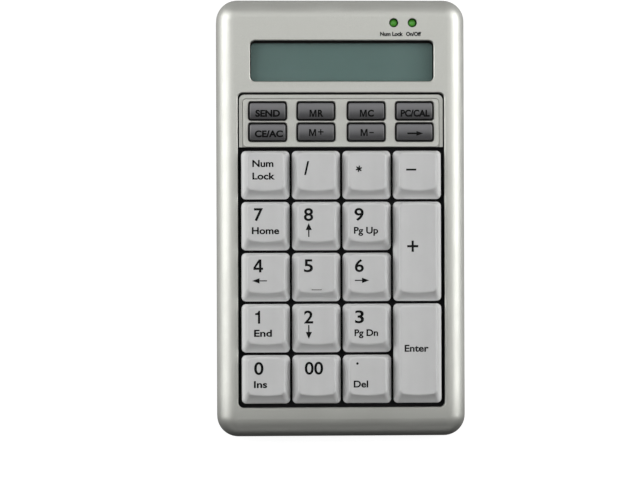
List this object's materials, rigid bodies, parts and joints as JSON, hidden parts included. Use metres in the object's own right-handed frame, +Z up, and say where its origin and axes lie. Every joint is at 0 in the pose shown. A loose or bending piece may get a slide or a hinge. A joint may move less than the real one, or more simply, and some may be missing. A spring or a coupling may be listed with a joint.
{
  "type": "numeric keypad",
  "caption": "Desktop numeric keypad with a sloping silver case, a blank display window, memory and function buttons, dished grey keys and fold-out tilt feet.",
  "frame": {"origin": "centre of the footprint, on the desk", "axes": "+X to the user's right, +Y away from the user along the case, +Z up"},
  "size_m": [0.0936, 0.165, 0.0225],
  "materials": {
    "silver": "satin metallic paint on moulded ABS",
    "silver_panel": "satin metallic paint on moulded ABS",
    "charcoal": "fine moulded texture",
    "keycap_grey": "fine moulded texture",
    "button_grey": "satin",
    "frame_black": "moulded",
    "silicone": "translucent silicone",
    "film": "printed polyester film",
    "plate_steel": "zinc plated",
    "keymat_rubber": "silicone",
    "board_green": "solder mask",
    "chip_black": "moulded epoxy",
    "connector_white": "nylon",
    "window_clear": "clear polycarbonate",
    "lcd_grey": "reflective liquid crystal cell",
    "strip_grey": "layered conductive rubber",
    "lamp_green": "tinted epoxy",
    "rubber_black": "moulded",
    "legend_ink": "pad-printed ink",
    "screw_steel": "zinc plated",
    "wire_steel": "bright spring wire"
  },
  "bodies": {
    "case": {"top_case": "silver", "bottom_case": "charcoal", "function_panel": "silver_panel", "key_frame": "frame_black", "dome_sheet": "silicone", "membrane_upper": "film", "membrane_spacer": "film", "membrane_lower": "film", "backing_plate": "plate_steel", "function_keymat": "keymat_rubber", "main_board": "board_green", "board_chips": "chip_black", "tail_connector": "connector_white", "cable_header": "connector_white", "lcd_window": "window_clear", "lcd_glass": "lcd_grey", "lcd_holder": "frame_black", "contact_strips": "strip_grey", "lamp_num_lock": "lamp_green", "lamp_power": "lamp_green", "lamp_spacers": "connector_white", "cable_gland": "rubber_black", "rubber_feet": "rubber_black", "case_screws": "screw_steel", "frame_screws": "screw_steel", "board_screws": "screw_steel"},
    "key_num_lock_body": {"key_num_lock": "keycap_grey"},
    "key_divide_body": {"key_divide": "keycap_grey"},
    "key_multiply_body": {"key_multiply": "keycap_grey"},
    "key_minus_body": {"key_minus": "keycap_grey"},
    "key_7_body": {"key_7": "keycap_grey"},
    "key_8_body": {"key_8": "keycap_grey"},
    "key_9_body": {"key_9": "keycap_grey"},
    "key_plus_body": {"key_plus": "keycap_grey"},
    "key_4_body": {"key_4": "keycap_grey"},
    "key_5_body": {"key_5": "keycap_grey"},
    "key_6_body": {"key_6": "keycap_grey"},
    "key_1_body": {"key_1": "keycap_grey"},
    "key_2_body": {"key_2": "keycap_grey"},
    "key_3_body": {"key_3": "keycap_grey"},
    "key_enter_body": {"key_enter": "keycap_grey"},
    "key_0_body": {"key_0": "keycap_grey"},
    "key_00_body": {"key_00": "keycap_grey"},
    "key_decimal_body": {"key_decimal": "keycap_grey"},
    "button_send_body": {"button_send": "button_grey"},
    "button_mr_body": {"button_mr": "button_grey"},
    "button_mc_body": {"button_mc": "button_grey"},
    "button_mode_body": {"button_mode": "button_grey"},
    "button_clear_body": {"button_clear": "button_grey"},
    "button_m_plus_body": {"button_m_plus": "button_grey"},
    "button_m_minus_body": {"button_m_minus": "button_grey"},
    "button_backspace_body": {"button_backspace": "button_grey"},
    "stabilizer_plus_body": {"stabilizer_plus": "wire_steel"},
    "stabilizer_enter_body": {"stabilizer_enter": "wire_steel"},
    "tilt_left": {"tilt_foot_left": "charcoal", "tilt_tip_left": "rubber_black"},
    "tilt_right": {"tilt_foot_right": "charcoal", "tilt_tip_right": "rubber_black"}
  },
  "joints": [
    {"name": "key_num_lock_press", "type": "slide", "parent": "case", "child": "key_num_lock_body", "axis": [0, 0.0436, -0.999], "range_m": [0, 0.0025], "stiffness_N_per_m": 150, "springref_m": -0.002, "deforming": ["dome_sheet"]},
    {"name": "key_divide_press", "type": "slide", "parent": "case", "child": "key_divide_body", "axis": [0, 0.0436, -0.999], "range_m": [0, 0.0025], "stiffness_N_per_m": 150, "springref_m": -0.002, "deforming": ["dome_sheet"]},
    {"name": "key_multiply_press", "type": "slide", "parent": "case", "child": "key_multiply_body", "axis": [0, 0.0436, -0.999], "range_m": [0, 0.0025], "stiffness_N_per_m": 150, "springref_m": -0.002, "deforming": ["dome_sheet"]},
    {"name": "key_minus_press", "type": "slide", "parent": "case", "child": "key_minus_body", "axis": [0, 0.0436, -0.999], "range_m": [0, 0.0025], "stiffness_N_per_m": 150, "springref_m": -0.002, "deforming": ["dome_sheet"]},
    {"name": "key_7_press", "type": "slide", "parent": "case", "child": "key_7_body", "axis": [0, 0.0436, -0.999], "range_m": [0, 0.0025], "stiffness_N_per_m": 150, "springref_m": -0.002, "deforming": ["dome_sheet"]},
    {"name": "key_8_press", "type": "slide", "parent": "case", "child": "key_8_body", "axis": [0, 0.0436, -0.999], "range_m": [0, 0.0025], "stiffness_N_per_m": 150, "springref_m": -0.002, "deforming": ["dome_sheet"]},
    {"name": "key_9_press", "type": "slide", "parent": "case", "child": "key_9_body", "axis": [0, 0.0436, -0.999], "range_m": [0, 0.0025], "stiffness_N_per_m": 150, "springref_m": -0.002, "deforming": ["dome_sheet"]},
    {"name": "key_plus_press", "type": "slide", "parent": "case", "child": "key_plus_body", "axis": [0, 0.0436, -0.999], "range_m": [0, 0.0025], "stiffness_N_per_m": 150, "springref_m": -0.002, "deforming": ["dome_sheet"]},
    {"name": "key_4_press", "type": "slide", "parent": "case", "child": "key_4_body", "axis": [0, 0.0436, -0.999], "range_m": [0, 0.0025], "stiffness_N_per_m": 150, "springref_m": -0.002, "deforming": ["dome_sheet"]},
    {"name": "key_5_press", "type": "slide", "parent": "case", "child": "key_5_body", "axis": [0, 0.0436, -0.999], "range_m": [0, 0.0025], "stiffness_N_per_m": 150, "springref_m": -0.002, "deforming": ["dome_sheet"]},
    {"name": "key_6_press", "type": "slide", "parent": "case", "child": "key_6_body", "axis": [0, 0.0436, -0.999], "range_m": [0, 0.0025], "stiffness_N_per_m": 150, "springref_m": -0.002, "deforming": ["dome_sheet"]},
    {"name": "key_1_press", "type": "slide", "parent": "case", "child": "key_1_body", "axis": [0, 0.0436, -0.999], "range_m": [0, 0.0025], "stiffness_N_per_m": 150, "springref_m": -0.002, "deforming": ["dome_sheet"]},
    {"name": "key_2_press", "type": "slide", "parent": "case", "child": "key_2_body", "axis": [0, 0.0436, -0.999], "range_m": [0, 0.0025], "stiffness_N_per_m": 150, "springref_m": -0.002, "deforming": ["dome_sheet"]},
    {"name": "key_3_press", "type": "slide", "parent": "case", "child": "key_3_body", "axis": [0, 0.0436, -0.999], "range_m": [0, 0.0025], "stiffness_N_per_m": 150, "springref_m": -0.002, "deforming": ["dome_sheet"]},
    {"name": "key_enter_press", "type": "slide", "parent": "case", "child": "key_enter_body", "axis": [0, 0.0436, -0.999], "range_m": [0, 0.0025], "stiffness_N_per_m": 150, "springref_m": -0.002, "deforming": ["dome_sheet"]},
    {"name": "key_0_press", "type": "slide", "parent": "case", "child": "key_0_body", "axis": [0, 0.0436, -0.999], "range_m": [0, 0.0025], "stiffness_N_per_m": 150, "springref_m": -0.002, "deforming": ["dome_sheet"]},
    {"name": "key_00_press", "type": "slide", "parent": "case", "child": "key_00_body", "axis": [0, 0.0436, -0.999], "range_m": [0, 0.0025], "stiffness_N_per_m": 150, "springref_m": -0.002, "deforming": ["dome_sheet"]},
    {"name": "key_decimal_press", "type": "slide", "parent": "case", "child": "key_decimal_body", "axis": [0, 0.0436, -0.999], "range_m": [0, 0.0025], "stiffness_N_per_m": 150, "springref_m": -0.002, "deforming": ["dome_sheet"]},
    {"name": "button_send_press", "type": "slide", "parent": "case", "child": "button_send_body", "axis": [0, 0.0436, -0.999], "range_m": [0, 0.001], "stiffness_N_per_m": 400, "springref_m": -0.001, "deforming": ["function_keymat"]},
    {"name": "button_mr_press", "type": "slide", "parent": "case", "child": "button_mr_body", "axis": [0, 0.0436, -0.999], "range_m": [0, 0.001], "stiffness_N_per_m": 400, "springref_m": -0.001, "deforming": ["function_keymat"]},
    {"name": "button_mc_press", "type": "slide", "parent": "case", "child": "button_mc_body", "axis": [0, 0.0436, -0.999], "range_m": [0, 0.001], "stiffness_N_per_m": 400, "springref_m": -0.001, "deforming": ["function_keymat"]},
    {"name": "button_mode_press", "type": "slide", "parent": "case", "child": "button_mode_body", "axis": [0, 0.0436, -0.999], "range_m": [0, 0.001], "stiffness_N_per_m": 400, "springref_m": -0.001, "deforming": ["function_keymat"]},
    {"name": "button_clear_press", "type": "slide", "parent": "case", "child": "button_clear_body", "axis": [0, 0.0436, -0.999], "range_m": [0, 0.001], "stiffness_N_per_m": 400, "springref_m": -0.001, "deforming": ["function_keymat"]},
    {"name": "button_m_plus_press", "type": "slide", "parent": "case", "child": "button_m_plus_body", "axis": [0, 0.0436, -0.999], "range_m": [0, 0.001], "stiffness_N_per_m": 400, "springref_m": -0.001, "deforming": ["function_keymat"]},
    {"name": "button_m_minus_press", "type": "slide", "parent": "case", "child": "button_m_minus_body", "axis": [0, 0.0436, -0.999], "range_m": [0, 0.001], "stiffness_N_per_m": 400, "springref_m": -0.001, "deforming": ["function_keymat"]},
    {"name": "button_backspace_press", "type": "slide", "parent": "case", "child": "button_backspace_body", "axis": [0, 0.0436, -0.999], "range_m": [0, 0.001], "stiffness_N_per_m": 400, "springref_m": -0.001, "deforming": ["function_keymat"]},
    {"name": "stabilizer_plus_turn", "type": "hinge", "parent": "case", "child": "stabilizer_plus_body", "pos_m": [0.0228, -0.01314, 0.01355], "axis": [0, 0.999, 0.0436], "range_deg": [0, 18.3]},
    {"name": "stabilizer_enter_turn", "type": "hinge", "parent": "case", "child": "stabilizer_enter_body", "pos_m": [0.0228, -0.05141, 0.01188], "axis": [0, 0.999, 0.0436], "range_deg": [0, 18.3]},
    {"name": "tilt_left_hinge", "type": "hinge", "parent": "case", "child": "tilt_left", "pos_m": [-0.024, 0.072, 0.0027], "axis": [1, 0, 0], "range_deg": [0, 100]},
    {"name": "tilt_right_hinge", "type": "hinge", "parent": "case", "child": "tilt_right", "pos_m": [0.024, 0.072, 0.0027], "axis": [1, 0, 0], "range_deg": [0, 100]}
  ],
  "couplings": [
    {"joint": "stabilizer_plus_turn", "follows": "key_plus_press", "rad_per_m": 127.13},
    {"joint": "stabilizer_enter_turn", "follows": "key_enter_press", "rad_per_m": 127.13}
  ]
}
